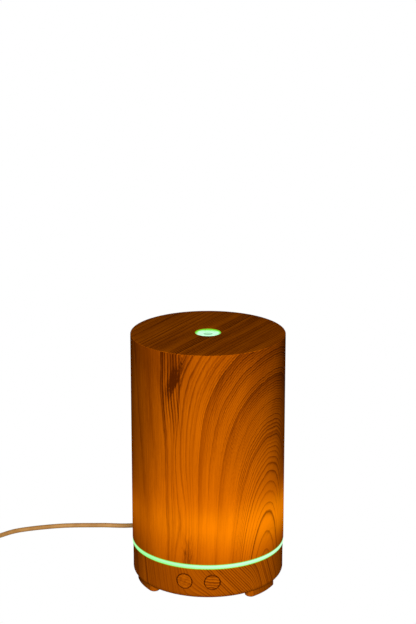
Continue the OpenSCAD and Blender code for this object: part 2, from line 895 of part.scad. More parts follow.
module inner_lid() {
  skirt_h = 4;
  skirt_t = 1.8;
  cone_r = 14;
  cone_h = 5;
  splash_r = 12;
  splash_z = [lid_z - 7.6, lid_z - 6.2];
  leg_r = 1.4;
  tab = [2.4, 14, 8];
  tab_x = 30;
  color(white_plastic) difference() {
    union() {
      rod_z(lid_r, lid_z, lid_z + lid_t);
      ring(tank_in_r - fit, tank_in_r - fit - skirt_t, lid_z - skirt_h, lid_z + 1);
      rod_z(chimney_r, lid_z, chimney_top_z);
      translate([0, 0, lid_z + lid_t - eps]) cylinder(r1 = cone_r, r2 = chimney_r, h = cone_h);
      // Splash plate on three legs under the chimney
      rod_z(splash_r, splash_z[0], splash_z[1]);
      for (a = [30, 150, 270])
        rotate(a) translate([splash_r - 1.8, 0, 0]) rod_z(leg_r, splash_z[1] - 0.8, lid_z + 1);
      // Lift tab
      translate([tab_x - tab[0] / 2, -tab[1] / 2, lid_z + lid_t - 1]) cube([tab[0], tab[1], tab[2] + 1]);
    }
    rod_z(chimney_in_r, lid_z - 1, chimney_top_z + 1);
  }
}

module chimney_seal() {
  seal_outer_r = chimney_r + 1.6;
  grip_h = 6;
  color(silicone) {
    ring(seal_outer_r, chimney_r + 0.05, chimney_top_z - grip_h, chimney_top_z + gap);
    ring(seal_outer_r, chimney_in_r, chimney_top_z + gap, insert_z - fit);
  }
}

// ---- Supply lead ----

module plug_body() {
  grooves = 3;
  groove_w = 0.6;
  groove_pitch = 1.5;
  end_y = plug_y + plug_len;
  color(tan_lead) translate([0, 0, jack_z]) difference() {
    union() {
      rod_y(plug_r, plug_y, end_y - plug_taper);
      translate([0, end_y, 0]) rotate([90, 0, 0])
        cylinder(r1 = relief_r + 0.3, r2 = plug_r, h = plug_taper + eps);
      rod_y(relief_r, end_y - 1, end_y + relief_len);
    }
    for (i = [0 : grooves - 1])
      rod_groove(relief_r - 0.4, plug_r + 1, end_y + 0.8 + i * groove_pitch, groove_w);
    rod_y(barrel_d / 2 + 0.02, plug_y - 1, plug_y + barrel_grip);
    rod_y(cable_r + 0.3, end_y - 2, end_y + relief_len + 1);
  }
}

module plug_barrel() {
  color(steel) translate([0, 0, jack_z]) difference() {
    rod_y(barrel_d / 2, jack_bore_y + 1, plug_y + barrel_grip - gap);
    rod_y(jack_pin_d / 2 + gap, jack_bore_y, plug_y + barrel_grip - 2);
  }
}

module power_lead() {
  color(tan_lead)
    sweep_tube(smooth_path(cable_points, cable_steps), cable_r, cable_sides, [0, 0, 1]);
}

// Rectangle in the XZ plane at a Y position, drawn out towards -Y
module bar_forward(y, length) {
  translate([0, y, 0]) rotate([90, 0, 0]) linear_extrude(length) children();
}

module usb_plug_body() {
  corner_r = 2.4;
  neck_r = cable_r + 1.2;
  neck_len = 4.6;
  color(tan_lead) translate([usb_x, 0, usb_z]) difference() {
    union() {
      bar_forward(usb_body_y, usb_body[2]) rounded_rect(usb_body[0], usb_body[1], corner_r);
      rod_y(neck_r, usb_body_y - eps, usb_body_y + neck_len);
    }
    rod_y(cable_r + 0.3, usb_body_y - 4, usb_y + 8);
    bar_forward(usb_metal_y + gap, usb_metal[2])
      square([usb_metal[0] + gap, usb_metal[1] + gap], center = true);
  }
}

module usb_shell() {
  wall = 0.4;
  back_t = 3;
  hole = [2.4, 2.2];
  hole_x = 2.9;
  hole_y = usb_metal_y - 20;
  color(steel) translate([usb_x, 0, usb_z]) difference() {
    bar_forward(usb_metal_y, usb_metal[2]) square([usb_metal[0], usb_metal[1]], center = true);
    bar_forward(usb_metal_y - back_t, usb_metal[2])
      square([usb_metal[0] - 2 * wall, usb_metal[1] - 2 * wall], center = true);
    for (side = [-1, 1])
      bar_forward(hole_y, hole[1]) translate([side * hole_x, 0])
        square([hole[0], usb_metal[1] * 2], center = true);
  }
}

module usb_tongue() {
  size = [11, 1.9, 22.4];
  color(white_plastic) translate([usb_x, 0, usb_z - 0.85])
    bar_forward(usb_metal_y - 3.1, size[2]) square([size[0], size[1]], center = true);
}

base_shell();
bottom_cover();
foot_pads();
bottom_screws();
light_ring();
water_tank();
tank_screws();
transducer_disc();
transducer_seal();
transducer_clamp();
transducer_screws();
fan_frame();
fan_stator();
fan_screws();
fan_rotor();
fan_shaft();
air_duct();
duct_gasket();
main_board();
board_screws();
heat_sink();
drive_transistor();
step_up_coil();
capacitors();
controller_chip();
led_board();
leds();
button_board();
switch_bodies();
dc_jack();
jack_pin();
fan_wires();
transducer_wires();
led_wires();
button_wires();
light_button();
light_switch_plunger();
mist_button();
mist_switch_plunger();
top_cover();
mist_outlet();
inner_lid();
chimney_seal();
plug_body();
plug_barrel();
power_lead();
usb_plug_body();
usb_shell();
usb_tongue();
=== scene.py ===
"""Looks of a wood-finish ultrasonic essential oil diffuser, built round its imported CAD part.

Lengths are in metres in the scene and in millimetres inside the wood patterns. The origin is on
the body's axis at floor level, +Z is up and the buttons face -Y.
"""

import json
import math

import bpy
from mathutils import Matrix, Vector


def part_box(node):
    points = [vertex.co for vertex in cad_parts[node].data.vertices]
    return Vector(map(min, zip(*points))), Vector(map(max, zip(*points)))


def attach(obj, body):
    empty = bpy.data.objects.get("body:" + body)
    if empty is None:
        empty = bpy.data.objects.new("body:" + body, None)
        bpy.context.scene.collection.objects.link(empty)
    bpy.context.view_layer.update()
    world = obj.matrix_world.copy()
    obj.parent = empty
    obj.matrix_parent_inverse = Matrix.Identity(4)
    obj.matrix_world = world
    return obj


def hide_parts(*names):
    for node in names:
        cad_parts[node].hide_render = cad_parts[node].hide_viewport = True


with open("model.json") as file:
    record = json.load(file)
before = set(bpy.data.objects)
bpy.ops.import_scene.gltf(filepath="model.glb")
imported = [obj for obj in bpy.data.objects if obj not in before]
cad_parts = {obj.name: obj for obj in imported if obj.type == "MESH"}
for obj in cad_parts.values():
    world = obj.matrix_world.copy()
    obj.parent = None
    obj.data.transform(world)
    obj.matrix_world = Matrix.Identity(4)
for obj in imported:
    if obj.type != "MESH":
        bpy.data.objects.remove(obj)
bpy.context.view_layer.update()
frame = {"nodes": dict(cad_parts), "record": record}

MM = 0.001
TO_MM = 1000.0

# Camera: where it stands, its turn about Z, its downward tilt and its focal length (mm)
CAMERA_AT = (0.14153, -1.10481, 0.50318)
CAMERA_TURN = math.radians(7.3)
CAMERA_DOWN = math.radians(16.239)
CAMERA_LENS = 106.56

# Wood colours (linear), from the light early wood to the darkest lines
WOOD_LIGHT = (0.66, 0.145, 0.0004)
WOOD_MID = (0.36, 0.066, 0.0002)
WOOD_DARK = (0.085, 0.012, 0.0001)
# Light of the lamps after passing through the wood, where it is weak and where it is strong
GLOW_WEAK = (1.0, 0.19, 0.0)
GLOW_STRONG = (1.0, 0.25, 0.0)
# Light of the lamps in clear plastic, where it is brightest, and at the ring's edges
LED_GREEN = (0.22, 0.82, 0.22)
LED_WHITE = (0.5, 0.9, 0.6)
EDGE_GREEN = (0.11, 0.50, 0.015)
# Green that the ring's light adds to the wood beside it, and how far it reaches (mm)
SPILL_GREEN = (0.02, 0.55, 0.012)
SPILL_REACH = 0.6

# Radius used to unroll the body's side into a flat sheet, in mm
SHEET_R = 49.0


# ---- Node arithmetic ----


class Num:
    """A number inside a material's node tree, with the usual arithmetic."""

    def __init__(self, tree, socket):
        self.tree = tree
        self.socket = socket

    def _math(self, kind, *others):
        node = self.tree.nodes.new("ShaderNodeMath")
        node.operation = kind
        for slot, value in zip(node.inputs, (self, *others)):
            feed(self.tree, slot, value)
        return Num(self.tree, node.outputs[0])

    def __add__(self, other):
        return self._math("ADD", other)

    def __sub__(self, other):
        return self._math("SUBTRACT", other)

    def __mul__(self, other):
        return self._math("MULTIPLY", other)

    def __truediv__(self, other):
        return self._math("DIVIDE", other)

    def __pow__(self, other):
        return self._math("POWER", other)

    def __neg__(self):
        return self * -1.0

    def sqrt(self):
        return self._math("SQRT")

    def abs(self):
        return self._math("ABSOLUTE")

    def floor(self):
        return self._math("FLOOR")

    def fract(self):
        return self._math("FRACT")

    def cos(self):
        return self._math("COSINE")

    def exp(self):
        return self._math("EXPONENT")

    def atan2(self, other):
        return self._math("ARCTAN2", other)

    def max(self, other):
        return self._math("MAXIMUM", other)

    def bell(self, centre, width):
        """1 at the centre, falling smoothly to 0 on both sides."""
        away = (self - centre) / width
        return (away * away * -1.0).exp()

    def ramp(self, low, high, out_low=0.0, out_high=1.0, smooth=True):
        """Clamped change from out_low at low to out_high at high."""
        node = self.tree.nodes.new("ShaderNodeMapRange")
        node.interpolation_type = "SMOOTHSTEP" if smooth else "LINEAR"
        for slot, value in zip(node.inputs, (self, low, high, out_low, out_high)):
            feed(self.tree, slot, value)
        return Num(self.tree, node.outputs[0])


def feed(tree, slot, value):
    """Gives an input socket a number, a colour or the output of another node."""
    if isinstance(value, Num):
        tree.links.new(value.socket, slot)
    elif isinstance(value, bpy.types.NodeSocket):
        tree.links.new(value, slot)
    elif isinstance(value, tuple):
        slot.default_value = value if slot.type == "VECTOR" else (*value, 1.0)[:4]
    else:
        slot.default_value = value


class Paint:
    """A new material and the nodes that its look is made of."""

    def __init__(self, name):
        self.material = bpy.data.materials.new(name)
        self.material.use_nodes = True
        self.tree = self.material.node_tree
        self.bsdf = self.tree.nodes["Principled BSDF"]

    def node(self, kind, **inputs):
        """A new node with values for some of its inputs."""
        made = self.tree.nodes.new(kind)
        for name, value in inputs.items():
            feed(self.tree, made.inputs[name], value)
        return made

    def split(self, place):
        """x, y and z of a place, in mm."""
        parts = self.node("ShaderNodeSeparateXYZ", Vector=place)
        return [Num(self.tree, out) * TO_MM for out in parts.outputs]

    def position(self):
        """x, y and z of the surface in the object's frame, in mm."""
        return self.split(self.node("ShaderNodeTexCoord").outputs["Object"])

    def world_position(self):
        """x, y and z of the surface in the world, in mm."""
        return self.split(self.node("ShaderNodeNewGeometry").outputs["Position"])

    def lift(self):
        """How far a moving body has lifted the surface from its place at rest, in mm."""
        return self.world_position()[2] - self.position()[2]

    def facing(self):
        """0 where the surface faces the viewer, 1 where it is seen edge-on."""
        return Num(self.tree, self.node("ShaderNodeLayerWeight", Blend=0.5).outputs["Facing"])

    def vector(self, *parts):
        """A place with the given x, y and z."""
        joined = self.tree.nodes.new("ShaderNodeCombineXYZ")
        for slot, part in zip(joined.inputs, parts):
            feed(self.tree, slot, part)
        return joined.outputs[0]

    def noise(self, x, y, z=0.0, scale=1.0, detail=2.0, rough=0.5):
        """Smooth noise about 0.5 over a place given in mm."""
        made = self.node(
            "ShaderNodeTexNoise", Vector=self.vector(x, y, z), Scale=scale, Detail=detail
        )
        made.inputs["Roughness"].default_value = rough
        return Num(self.tree, made.outputs[0])

    def random(self, seed):
        """A fixed random number from 0 to 1 for each whole number."""
        made = self.tree.nodes.new("ShaderNodeTexWhiteNoise")
        made.noise_dimensions = "1D"
        feed(self.tree, made.inputs["W"], seed)
        return Num(self.tree, made.outputs["Value"])

    def cells(self, x, y, z, scale):
        """Distance from the nearest of many scattered points."""
        made = self.node("ShaderNodeTexVoronoi", Vector=self.vector(x, y, z), Scale=scale)
        return Num(self.tree, made.outputs["Distance"])

    def blend(self, share, first, second):
        """Colour between two colours."""
        made = self.tree.nodes.new("ShaderNodeMix")
        made.data_type = "RGBA"
        for slot, value in ((0, share), (6, first), (7, second)):
            feed(self.tree, made.inputs[slot], value)
        return made.outputs[2]

    def bump(self, height, depth_mm):
        """Surface direction for a relief whose height of 1 stands for the depth."""
        made = self.node("ShaderNodeBump", Height=height, Distance=depth_mm * MM)
        made.inputs["Strength"].default_value = 1.0
        return made.outputs[0]

    def finish(self, colour, rough, normal, **extra):
        """Gives the shader its inputs; extra ones are named with _ for each space."""
        feed(self.tree, self.bsdf.inputs["Base Color"], colour)
        feed(self.tree, self.bsdf.inputs["Roughness"], rough)
        feed(self.tree, self.bsdf.inputs["Normal"], normal)
        for name, value in extra.items():
            feed(self.tree, self.bsdf.inputs[name.replace("_", " ")], value)
        return self.material


# ---- Wood ----

# Height of the cover's lower edge, and of its side above that (mm)
SIDE_LOW_Z = 28.0
SIDE_H = 137.0
# Growth rings on the cover: height of the arches' root, place of their middle line along the sheet
# at the cover's lower edge (mm), and how far it leans to the right for each mm of height
ARCH_ROOT_Z = -64.3
ARCH_U = 47.6
ARCH_LEAN = 0.0644
# Left of the knot: distance from the root at the near edge of the fan, and how far it grows
# from there to the far edge
FAN_FROM = 270.5
FAN_GROWTH = 15.3
# Distances from the arches' root of the widely spaced lower rings
WIDE_RINGS = (84, 96.4, 108.4, 122, 127.8, 135, 141.5, 148.5, 153.4, 157.5, 161.2, 164.4)
# Rings above them: where each evenly spaced stretch starts and ends, and its number of rings
EVEN_RINGS = ((164.4, 182.0, 7.0), (182.0, 250.0, 42.5))
# Distance from the root at which the outermost rings start, and their pitch
OUTER_RINGS_FROM = 250.0
OUTER_RING_PITCH = 2.35
# Dark lines on the cover: distance from the arches' root, width of the fade, strength
COVER_LINES = (
    (108.4, 4.0, 0.35),
    (122.3, 4.0, 0.6),
    (135.2, 3.0, 0.25),
    (153.7, 3.0, 0.25),
    (173.4, 9.0, 0.35),
    (179.1, 5.0, 0.2),
    (210.1, 13.0, 0.36),
    (226.7, 7.0, 0.2),
    (239.1, 16.0, 0.42),
    (246.2, 2.6, 0.2),
    (249.4, 2.2, 0.22),
    (253.1, 2.4, 0.34),
    (258.2, 2.4, 0.4),
    (263.2, 1.6, 0.42),
    (266.0, 1.5, 0.42),
    (270.5, 1.8, 0.6),
    (277.0, 3.0, 0.2),
    (285.8, 5.5, 0.4),
    (305.0, 12.0, 0.4),
    (324.0, 6.0, 0.3),
)
# Knot near the top of the cover: its place on the sheet (mm) and the direction of its length
KNOT_U = -15.2
KNOT_Z = 147.5
KNOT_ACROSS = 0.42
KNOT_UP = 0.907
# Pitch of the lines that run into the knot, and place along the sheet of the knot at the rim (mm)
KNOT_LINE_PITCH = 1.95
RIM_KNOT_U = -6.4
# Lamps' glow in the cover: height above which it fades, how fast it fades (mm), and the
# directions from the front of its brighter side, of the bright spot and of the spot's halo
GLOW_TOP_Z = 50.0
GLOW_FADE = 45.0
BRIGHT_TURN = 1.5
SPOT_TURN = 0.09
HALO_TURN = -0.3
# Pitch of the ring lines on the top, the base, the buttons and the feet (mm)
TOP_RING_PITCH = 1.55
BASE_RING_PITCH = 1.9
BUTTON_RING_PITCH = 1.95
FOOT_RING_PITCH = 2.6
# Direction of the grain on the top, from +X
TOP_GRAIN_TURN = math.radians(68.0)
# Radius of each button's face, radius and width of the painted shade in the gap round it, and how
# far from the front along the sheet the base's pattern paints that shade (mm)
BUTTON_R = 4.7
GAP_SHADE_R = 5.05
GAP_SHADE_W = 0.25
GAP_SHADE_REACH = 24.0
# Dark lines on the base: distance along the sheet, width of the fade, strength
BASE_LINES = (
    (-53.0, 9.0, 0.35),
    (-41.0, 3.0, 0.55),
    (-3.0, 0.7, 0.35),
    (37.0, 5.0, 0.25),
    (44.5, 2.2, 0.35),
    (49.5, 2.0, 0.25),
    (55.3, 3.0, 0.4),
)
# Dark lines on the top: distance across the disc, width of the fade, strength
TOP_LINES = (
    (-37.0, 3.0, 0.2),
    (-24.0, 1.6, 0.3),
    (-15.0, 1.4, 0.25),
    (0.4, 0.8, 0.6),
    (2.7, 0.9, 0.85),
    (5.8, 0.8, 0.3),
    (14.0, 3.0, 0.2),
    (23.5, 2.0, 0.15),
    (34.0, 6.0, 0.12),
)


def dark_lines(place, lines):
    """Lines that fade towards lower values of place and end sharply on the other side."""
    total = None
    for at, fade, strength in lines:
        edge = min(0.7, fade * 0.3)
        rise = place.ramp(at - fade, at, 0.0, strength, smooth=False)
        line = rise * rise * place.ramp(at, at + edge, 1.0, 0.0) / strength
        total = line if total is None else total + line
    return total


def growth_rings(paint, count, sharpness):
    """Darkness of thin ring lines: each darkens towards a whole count, then ends sharply."""
    part = count.fract()
    strength = paint.random(count.floor()) * 0.7 + 0.3
    return part**sharpness * part.ramp(0.95, 1.0, 1.0, 0.15) * strength


def wood_material(paint, across, along, dark, glow=None, spill=None, streaks=1.0, painted_edge_shade=0.6):
    """Printed wood: dark is the darkness of lines, with any painted shade added in; across and
    along follow the fibres in mm.

    Glow is light that comes through the wood, and spill is the share of green beside the ring.
    Streaks is the strength of the fine grain; the last argument darkens the wood where it is seen
    edge-on, as painted shade.
    """
    fibre = paint.noise(across * 1.1, along * 0.03, detail=4.0, rough=0.6) - 0.5
    hair = paint.noise(across * 4.2, along * 0.16, 7.0, detail=2.0)
    broad = paint.noise(across * 0.1, along * 0.012, 3.0, detail=1.0) - 0.5
    pores = paint.noise(across * 3.6, along * 0.3, 11.0, detail=1.0).ramp(0.62, 0.74)
    grain = fibre * 0.5 + (hair - 0.5) * 0.26 + broad * 0.34
    tone = dark + grain * streaks + pores * 0.07
    low = paint.blend(tone.ramp(0.0, 0.5, smooth=False), WOOD_LIGHT, WOOD_MID)
    colour = paint.blend(tone.ramp(0.5, 1.0, smooth=False), low, WOOD_DARK)
    rough = hair * 0.12 + tone.ramp(0.0, 1.0, 0.46, 0.6)
    # The lines are printed, so only the fine grain stands in relief
    bump = paint.bump(grain * -1.0 + pores * -0.5, 0.02)
    # Painted shade: the colour goes towards black where the wood is seen edge-on
    if painted_edge_shade:
        edge_on = paint.facing().ramp(0.06, 1.0, 0.0, painted_edge_shade, smooth=False)
        colour = paint.blend(edge_on, colour, (0.0, 0.0, 0.0))
    extra = {"Specular_IOR_Level": 0.0}
    if glow is not None:
        light = paint.blend(glow.ramp(0.15, 0.55), GLOW_WEAK, GLOW_STRONG)
        lit = paint.blend(tone.ramp(0.0, 0.9, 0.0, 0.62, smooth=False), light, WOOD_DARK)
        lit = paint.blend(spill, lit, SPILL_GREEN)
        extra.update(Emission_Color=lit, Emission_Strength=glow.max(spill))
    elif spill is not None:
        extra.update(Emission_Color=SPILL_GREEN, Emission_Strength=spill)
    return paint.finish(colour, rough, bump, **extra)


def sheet_place(paint):
    """Distance round the body from the front (towards +X) and height, both in mm."""
    x, y, z = paint.position()
    return x.atan2(-y) * SHEET_R, z


def arch_distance(u, z):
    """Distance from the arches' root: its level lines are the arched growth rings."""
    up = z - ARCH_ROOT_Z
    out = (u - (z - SIDE_LOW_Z) * ARCH_LEAN - ARCH_U).abs()
    # The arches' width for their height grows both upwards and outwards
    v = up / 130.0
    k = out / 40.0
    width = v**3.0 * 0.0386 + v * v * 0.0388 + k * 0.0562 + k * k * 0.0311 - k * v * 0.0542
    flank = out / (width + 0.1202).max(0.05)
    return (flank * flank + up * up).sqrt(), flank


def knot_drift(z):
    """How far the lines at the knot move to the left on their way up, in mm."""
    return z.ramp(98.0, 148.0, 0.0, 3.4)


def left_distance(u, z):
    """The same distance left of the knot, where the rings are nearly upright and fan out."""
    near = z.ramp(45.0, 95.0, -20.6, -21.4) - knot_drift(z)
    far = ((z - SIDE_LOW_Z) / SIDE_H).max(0.0) ** 1.7 * -14.6 - 38.9
    return (near - u) / (near - far) * FAN_GROWTH + FAN_FROM


def cover_distance(paint, u, z):
    """Distance from the arches' root anywhere on the cover, and how steep its flank is."""
    arch, flank = arch_distance(u, z)
    # Below the knot the two run into each other; from the knot up they meet at a sharp seam
    left = u.ramp(z.ramp(96.0, 128.0, -20.5, -13.0), z.ramp(96.0, 160.0, -12.0, -9.5), 1.0, 0.0)
    wander = paint.noise(u * 0.16, z * 0.03, detail=2.0) - 0.5
    ragged = paint.noise(u * 2.2, z * 0.12, 5.0, detail=1.0) - 0.5
    pinch = u.bell(-8.5, 4.5) * z.ramp(52.0, 96.0, 5.5, 0.0)
    away = arch + (left_distance(u, z) - arch) * left
    return away + wander * 2.2 + ragged * 0.9 + pinch, flank / arch


def cover_rings(paint, away, steep, u):
    """Darkness of the thin ring lines on the cover's side."""
    count = ((away - OUTER_RINGS_FROM) / OUTER_RING_PITCH).max(0.0)
    single_rings = tuple((low, high, 1.0) for low, high in zip(WIDE_RINGS, WIDE_RINGS[1:]))
    for start, end, rings in single_rings + EVEN_RINGS:
        count = count + away.ramp(start, end, 0.0, rings, smooth=False)
    # On the arches' flanks the rings crowd together, so they show less
    crowded = steep * steep * away.ramp(150.0, 185.0)
    fine = away.ramp(164.0, 184.0) * u.ramp(0.0, 36.0, -0.62, -0.08) + 1.1
    strength = crowded.ramp(0.2, 0.8, 1.0, 0.1) * fine * away.ramp(244.0, 252.0, 1.0, 0.5)
    strength = strength + away.ramp(261.0, 264.0) * away.ramp(270.0, 273.0, 0.45, 0.0)
    strength = strength * u.ramp(-32.0, -20.0, 0.35, 1.0)
    sharp = away.ramp(100.0, 190.0, 8.0, 1.7, smooth=False)
    return growth_rings(paint, count, sharp) * strength


def cover_knot(paint, u, z):
    """Darkness of the feathered knot near the top, its lines, and the small knot at the rim."""
    du, dz = u - KNOT_U, z - KNOT_Z
    length = du * KNOT_ACROSS + dz * KNOT_UP
    side = du * KNOT_UP - dz * KNOT_ACROSS
    feather = paint.noise(u * 0.9, z * 0.5 - u * 0.35, 2.0, detail=4.0, rough=0.7)
    body = length.bell(0.0, 10.5) * side.ramp(1.6, 2.9, 1.0, 0.0) * side.ramp(-5.5, -0.8)
    knot = body * feather.ramp(0.3, 0.62, 0.3, 0.95)
    drift = knot_drift(z) + paint.noise(z * 0.06, u * 0.1, 4.0, detail=1.0) * 1.4
    stripe = (((u + drift) / KNOT_LINE_PITCH).fract() - 0.5).abs().ramp(0.12, 0.5)
    zone = u.ramp(-25.5, -23.0) * u.ramp(-13.0, -9.5, 1.0, 0.0)
    lines = stripe * zone * z.ramp(106.0, 132.0) * 0.5
    rim_zone = u.bell(RIM_KNOT_U, 3.6) * z.ramp(30.0, 58.0, 1.0, 0.0)
    rim = rim_zone * paint.noise(u * 2.2, z * 0.16, 9.0, detail=2.0).ramp(0.3, 0.68)
    return knot + lines + rim * 0.8


def cover_glow(paint):
    """Light of the lamps below, seen through the cover; it stays put when the cover is lifted."""
    x, y, z = paint.world_position()
    turn = x.atan2(-y)
    away_from_ring = z.ramp(20.0, 58.0, 0.25, 1.0, smooth=False)
    spread = ((z - GLOW_TOP_Z).max(0.0) / -GLOW_FADE).exp() * away_from_ring
    edge_on = paint.facing().ramp(0.2, 0.75, 1.0, 0.5)
    # One side of the lamps' ring is brighter, and one lamp shows as a spot with a wide halo
    side = ((turn - BRIGHT_TURN).cos() * 0.5 + 0.5) ** 2.0
    band = (side * 0.38 + paint.facing().ramp(0.3, 0.75, 0.02, 0.16)) * z.bell(51.0, 15.5)
    spot = turn.bell(SPOT_TURN, 0.17) * z.bell(54.5, 9.0)
    halo = turn.bell(HALO_TURN, 0.3) * z.bell(56.0, 20.0) * 0.6
    return spread * edge_on * 0.4 + band + (spot + halo) * 0.1


def make_cover_wood():
    """Cover's side: arched rings with a knot to their left, lit from below."""
    paint = Paint("wood_print")
    u, z = sheet_place(paint)
    away, steep = cover_distance(paint, u, z)
    rings = cover_rings(paint, away, steep, u)
    broad = away.ramp(150.0, 215.0) * u.ramp(0.0, 45.0) * 0.2 + z.ramp(120.0, 165.0, 0.0, 0.08)
    broad = broad + u.bell(-40.0, 15.0) * 0.26 + u.bell(-4.0, 24.0) * 0.2
    broad = broad + z.ramp(132.0, 162.0) * u.ramp(-16.0, 0.0, 0.12, 0.0)
    # The bold lines fade towards the bottom, except in the arches
    low_down = z.ramp(35.0, 135.0, 0.5, 1.0).max(u.ramp(22.0, 36.0))
    lines = dark_lines(away, COVER_LINES) * u.ramp(-30.0, -22.0, 0.75, 1.0) * low_down
    dark = rings + lines + cover_knot(paint, u, z) + broad
    # The fibres follow the rings
    across = away * 0.34 - u * 0.5
    streaks = u.ramp(-30.0, -16.0, 1.5, 1.0)
    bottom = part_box("top_cover")[0].z * TO_MM
    spill = z.ramp(bottom, bottom + SPILL_REACH, 1.0, 0.0) * paint.lift().ramp(0.5, 8.0, 1.0, 0.0)
    return wood_material(paint, across, z, dark, cover_glow(paint), spill, streaks)


def make_top_wood():
    """Cover's top: nearly straight lines across the disc."""
    paint = Paint("wood_print_top")
    x, y, _ = paint.position()
    across = x * math.sin(TOP_GRAIN_TURN) - y * math.cos(TOP_GRAIN_TURN)
    along = x * math.cos(TOP_GRAIN_TURN) + y * math.sin(TOP_GRAIN_TURN)
    bend = (paint.noise(across * 0.05, along * 0.012, detail=1.0) - 0.5) * 4.0
    across = across + bend
    strength = across.ramp(-14.0, 2.0, 1.0, 1.2) * across.ramp(6.0, 20.0, 1.0, 0.7)
    rings = growth_rings(paint, across / TOP_RING_PITCH, 1.2) * strength
    dark = rings + dark_lines(across, TOP_LINES) + across.ramp(-10.0, 30.0, 0.0, 0.1)
    return wood_material(paint, across, along, dark, streaks=1.7, painted_edge_shade=0.12)


def button_distance(paint, node_name):
    """Distance from a button's axis, in mm."""
    low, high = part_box(node_name)
    middle = (low + high) / 2 * TO_MM
    x, _, z = paint.position()
    across, up = x - middle.x, z - middle.z
    return (across * across + up * up).sqrt()


def make_base_wood():
    """Base shell: slanting lines that turn upright to the left, and painted shade round the
    buttons.
    """
    paint = Paint("wood_print_base")
    u, z = sheet_place(paint)
    slant = u.ramp(-16.0, 9.0, 0.16, 0.88) - u.ramp(34.0, 47.0, 0.0, 0.5)
    across = u - slant * 25.0 + slant * z
    strength = u.ramp(-8.0, 10.0, 0.34, 0.95) * u.ramp(32.0, 44.0, 1.0, 0.8)
    rings = growth_rings(paint, across / BASE_RING_PITCH, 1.7) * strength
    broad = u.ramp(-46.0, -42.0, 0.22, 0.14) + u.bell(-20.0, 20.0) * 0.2 - u.ramp(26.0, 46.0) * 0.1
    # Painted shade in the gaps round the buttons, on the front only
    front = u.abs().ramp(GAP_SHADE_REACH, GAP_SHADE_REACH + 2.0, 0.55, 0.0)
    for node_name in ("light_button", "mist_button"):
        broad = broad + button_distance(paint, node_name).bell(GAP_SHADE_R, GAP_SHADE_W) * front
    dark = rings + dark_lines(across, BASE_LINES) + broad
    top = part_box("base_shell")[1].z * TO_MM
    spill = z.ramp(top - SPILL_REACH, top)
    return wood_material(paint, across, z + u * 0.4, dark, spill=spill, painted_edge_shade=0.0)


def make_button_wood(node_name, strength, tilt, mottle):
    """Wood of a button's face: lines that tilt a little from level, darker patches and painted
    shade at its edge.
    """
    paint = Paint("wood_" + node_name)
    x, _, z = paint.position()
    wave = (paint.noise(x * 0.3, z * 0.3, detail=1.0) - 0.5) * 1.6
    patch = paint.noise(x * 0.5, z * 0.6, 3.0, detail=1.0).ramp(0.38, 0.62)
    across = z + x * tilt + wave
    rings = growth_rings(paint, across / BUTTON_RING_PITCH, 1.1) * strength
    # Painted shade at the edge of the face, beside the gap round the button
    rim = button_distance(paint, node_name).ramp(BUTTON_R - 0.4, BUTTON_R - 0.05) * 0.4
    return wood_material(paint, across, x, rings + patch * mottle + rim, painted_edge_shade=0.0)


def make_foot_wood():
    """Bottom cover and its feet: faint upright lines."""
    paint = Paint("wood_print_under")
    u, z = sheet_place(paint)
    rings = growth_rings(paint, u / FOOT_RING_PITCH + z * 0.1, 2.0) * 0.3
    return wood_material(paint, u, z, rings + 0.12)


# ---- Plastics, metals and the rest ----

# Diameter of the winding's copper wire, and radius of the piezo disc's ceramic face (mm)
COPPER_WIRE_D = 0.42
CERAMIC_R = 7.4
# Number of lamps below the ring
LAMP_COUNT = 12.0


def moulded(name, colour, rough=0.42, grain=0.012, **extra):
    """Moulded plastic with a fine spark-eroded surface and faint uneven tone."""
    paint = Paint(name)
    x, y, z = paint.position()
    speck = paint.noise(x * 4.0, y * 4.0, z * 4.0, detail=3.0, rough=0.7)
    flow = paint.noise(x * 0.09, y * 0.09, z * 0.14, detail=2.0)
    darker = tuple(part * 0.82 for part in colour)
    tint = paint.blend(flow.ramp(0.3, 0.7) * 0.6 + speck * 0.2, colour, darker)
    return paint.finish(tint, speck * 0.16 + (rough - 0.08), paint.bump(speck, grain), **extra)


def metal(name, colour, rough):
    """Bare metal with fine drawing lines and light scuffs."""
    paint = Paint(name)
    x, y, z = paint.position()
    lines = paint.noise(x * 9.0, y * 0.6, z * 9.0, detail=2.0)
    scuff = paint.noise(x * 0.8, y * 0.8, z * 0.8, detail=5.0, rough=0.7)
    worn = tuple(part * 0.72 for part in colour)
    tint = paint.blend(scuff.ramp(0.45, 0.7) * 0.6, colour, worn)
    return paint.finish(
        tint, lines * 0.18 + scuff * 0.14 + (rough - 0.14), paint.bump(lines, 0.006), Metallic=1.0
    )


def rubber(name, colour, rough, depth):
    """Soft rubber: matt, finely pitted and dusty in patches."""
    paint = Paint(name)
    x, y, z = paint.position()
    pits = paint.cells(x, y, z, 2.4)
    dust = paint.noise(x * 0.35, y * 0.35, z * 0.35, detail=4.0, rough=0.65)
    dusty = tuple(part * 0.6 + 0.12 for part in colour)
    tint = paint.blend(dust.ramp(0.5, 0.75) * 0.35, colour, dusty)
    return paint.finish(tint, dust * 0.15 + (rough - 0.07), paint.bump(pits, depth))


def make_frosted_tank():
    """Frosted clear plastic, milky where it is thick, with faint flow marks."""
    paint = Paint("tank_plastic")
    x, y, z = paint.position()
    speck = paint.noise(x * 5.0, y * 5.0, z * 5.0, detail=2.0)
    flow = paint.noise(x * 0.05, y * 0.05, z * 0.2, detail=3.0)
    tint = paint.blend(flow.ramp(0.35, 0.65), (0.86, 0.91, 0.93), (0.76, 0.83, 0.86))
    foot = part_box("water_tank")[0].z * TO_MM
    # Light of the lamps' ring, strongest at the foot of the tank
    glow = ((z - foot) / -22.0).exp() * (flow * 0.4 + 0.3)
    return paint.finish(
        tint,
        speck * 0.1 + 0.3,
        paint.bump(speck, 0.008),
        Emission_Color=LED_GREEN,
        Emission_Strength=glow,
        Transmission_Weight=0.25,
        IOR=1.46,
        Subsurface_Weight=0.25,
        Subsurface_Radius=(0.006, 0.006, 0.006),
    )


